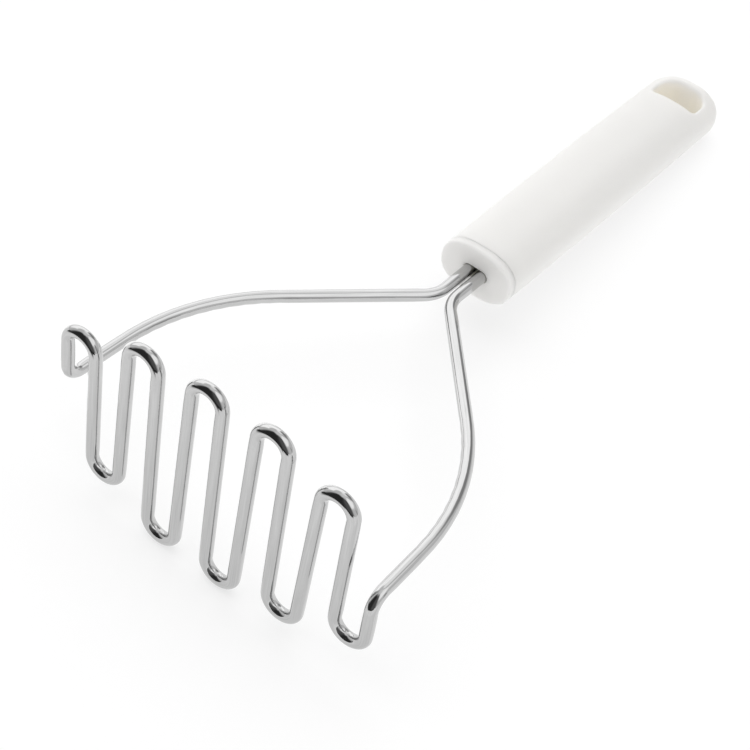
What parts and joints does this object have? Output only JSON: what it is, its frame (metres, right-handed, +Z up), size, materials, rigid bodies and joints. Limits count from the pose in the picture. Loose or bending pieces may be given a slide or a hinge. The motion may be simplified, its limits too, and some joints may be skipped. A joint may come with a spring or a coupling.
{
  "type": "potato masher",
  "caption": "Hand potato masher: one bent stainless wire makes the serpentine mashing face, both arms and the tails, which a hollow white oval handle with a hang hole holds.",
  "frame": {"origin": "on the table, under the middle of the masher's box, lying on the low bends of the face and on the underside of the handle", "axes": "+X across the face, +Y from the mashing face towards the hang hole, +Z up from the table"},
  "size_m": [0.1134, 0.26, 0.0733],
  "materials": {
    "polished_wire": "polished stainless steel wire",
    "white_plastic": "satin white moulded plastic"
  },
  "bodies": {
    "root": {"masher_wire": "polished_wire", "end_cap": "white_plastic", "handle_shell": "white_plastic"}
  },
  "joints": []
}
